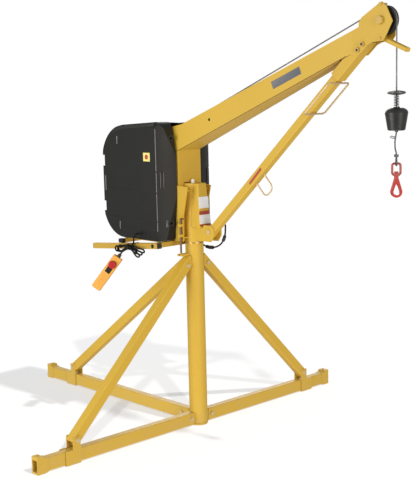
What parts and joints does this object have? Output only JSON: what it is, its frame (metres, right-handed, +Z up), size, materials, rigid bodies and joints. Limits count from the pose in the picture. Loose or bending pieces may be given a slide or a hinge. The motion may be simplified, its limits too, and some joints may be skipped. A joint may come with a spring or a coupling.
{
  "type": "mini crane",
  "caption": "Small slewing jib crane on a three-legged tube base: braced mast, tapered boom with strut, covered electric winch, wire rope with weight and swivel hook, hand pendant.",
  "frame": {"origin": "centre of the mast's flat foot, on the floor", "axes": "+Z up, +X along the boom at rest, +Y to the boom's left"},
  "size_m": [2.5192, 1.934, 1.9526],
  "materials": {
    "yellow_paint": "satin powder coat",
    "bar_paint": "satin powder coat",
    "cover_plastic": "moulded, slightly glossy",
    "zinc_steel": "zinc plated",
    "bare_steel": "machined",
    "wire_rope": "galvanised wire rope",
    "weight_iron": "dark painted casting",
    "machine_grey": "painted casting",
    "hook_red": "gloss paint",
    "pendant_yellow": "moulded plastic",
    "black_rubber": "moulded",
    "cable_black": "smooth cable sheath",
    "black_plastic": "moulded",
    "stop_red": "moulded",
    "bronze": "sintered bush",
    "white_plastic": "moulded",
    "sheave_black": "nylon"
  },
  "bodies": {
    "tripod": {"mast": "yellow_paint", "mast_lugs": "yellow_paint", "side_rails": "yellow_paint", "rear_rail": "yellow_paint", "side_braces": "yellow_paint", "rear_brace": "yellow_paint", "brace_saddles": "yellow_paint", "foot_collars": "yellow_paint", "base_bolts": "zinc_steel", "slew_spindle": "bare_steel"},
    "jib": {"slew_tube": "yellow_paint", "slew_bushes": "bronze", "slew_cap": "yellow_paint", "grease_knob": "white_plastic", "post": "yellow_paint", "slew_cheeks": "yellow_paint", "front_gusset": "yellow_paint", "strut_ears": "yellow_paint", "boom": "yellow_paint", "strut": "yellow_paint", "strut_sleeve": "yellow_paint", "strut_bolts": "zinc_steel", "strut_loops": "bare_steel", "platform_frame": "bar_paint", "platform_plugs": "black_rubber", "winch_plate": "yellow_paint", "motor": "machine_grey", "gearbox": "machine_grey", "bearing_stand": "yellow_paint", "control_box": "black_plastic", "front_panels": "cover_plastic", "rear_cover": "cover_plastic", "cover_screws": "zinc_steel", "sheave_axle": "zinc_steel", "head_pins": "zinc_steel", "limit_switch": "black_plastic", "rope_run": "wire_rope", "rope_fall": "wire_rope", "pendant_case": "pendant_yellow", "cable_glands": "black_rubber", "pendant_cable": "cable_black", "cable_hank": "cable_black", "hank_tie": "black_plastic", "limit_cable": "cable_black"},
    "winch_drum": {"drum": "machine_grey", "drum_shaft": "bare_steel", "rope_pack": "wire_rope"},
    "head_sheave": {"sheave": "sheave_black"},
    "hook_block": {"hook_weight": "weight_iron", "buffer_spring": "bare_steel", "rope_tail": "wire_rope", "rope_clips": "zinc_steel", "hook_bail": "bare_steel"},
    "striker": {"striker_disc": "weight_iron"},
    "hook": {"hook_body": "hook_red"},
    "jaw": {"hook_jaw": "hook_red"},
    "limit_lever": {"limit_arm": "yellow_paint"},
    "stop_button": {"estop_button": "stop_red"},
    "rocker": {"rocker_switch": "black_plastic"},
    "slew_lock": {"lock_pin": "zinc_steel"}
  },
  "joints": [
    {"name": "slew", "type": "hinge", "parent": "tripod", "child": "jib", "pos_m": [0, 0, 0.9], "axis": [0, 0, 1], "continuous": true},
    {"name": "drum_turn", "type": "hinge", "parent": "jib", "child": "winch_drum", "pos_m": [-0.23, 0, 1.317], "axis": [0, 1, 0], "range_deg": [-76, 825]},
    {"name": "sheave_turn", "type": "hinge", "parent": "jib", "child": "head_sheave", "pos_m": [1.139, 0, 1.883], "axis": [0, 1, 0], "range_deg": [-107, 1152]},
    {"name": "hoist", "type": "slide", "parent": "jib", "child": "hook_block", "axis": [0, 0, 1], "range_m": [-1.08, 0.1], "deforming": ["rope_fall"]},
    {"name": "striker_slide", "type": "slide", "parent": "hook_block", "child": "striker", "axis": [0, 0, 1], "range_m": [-0.022, 0], "stiffness_N_per_m": 600, "springref_m": 0.01, "deforming": ["buffer_spring"]},
    {"name": "hook_swivel", "type": "hinge", "parent": "hook_block", "child": "hook", "pos_m": [1.1928, 0, 1.28], "axis": [0, 0, 1], "continuous": true},
    {"name": "jaw_open", "type": "hinge", "parent": "hook", "child": "jaw", "pos_m": [1.19727, 0.00472, 1.251], "axis": [0.7266, -0.6871, 0], "range_deg": [0, 40]},
    {"name": "limit_lift", "type": "hinge", "parent": "jib", "child": "limit_lever", "pos_m": [1.136, 0, 1.812], "axis": [0, -1, 0], "range_deg": [0, 8]},
    {"name": "stop_press", "type": "slide", "parent": "jib", "child": "stop_button", "axis": [-0.6796, 0.7315, -0.055], "range_m": [0, 0.004], "stiffness_N_per_m": 300, "springref_m": -0.002},
    {"name": "rocker_tilt", "type": "hinge", "parent": "jib", "child": "rocker", "pos_m": [-0.26984, -0.31802, 0.7824], "axis": [0.6052, 0.5167, -0.6057], "range_deg": [-9, 9], "stiffness_Nm_per_rad": 0.05},
    {"name": "lock_drop", "type": "slide", "parent": "jib", "child": "slew_lock", "axis": [0, 0, -1], "range_m": [0, 0.016]}
  ],
  "couplings": [
    {"joint": "hoist", "follows": "drum_turn", "m_per_rad": -0.075},
    {"joint": "sheave_turn", "follows": "drum_turn", "ratio": 1.3941}
  ]
}
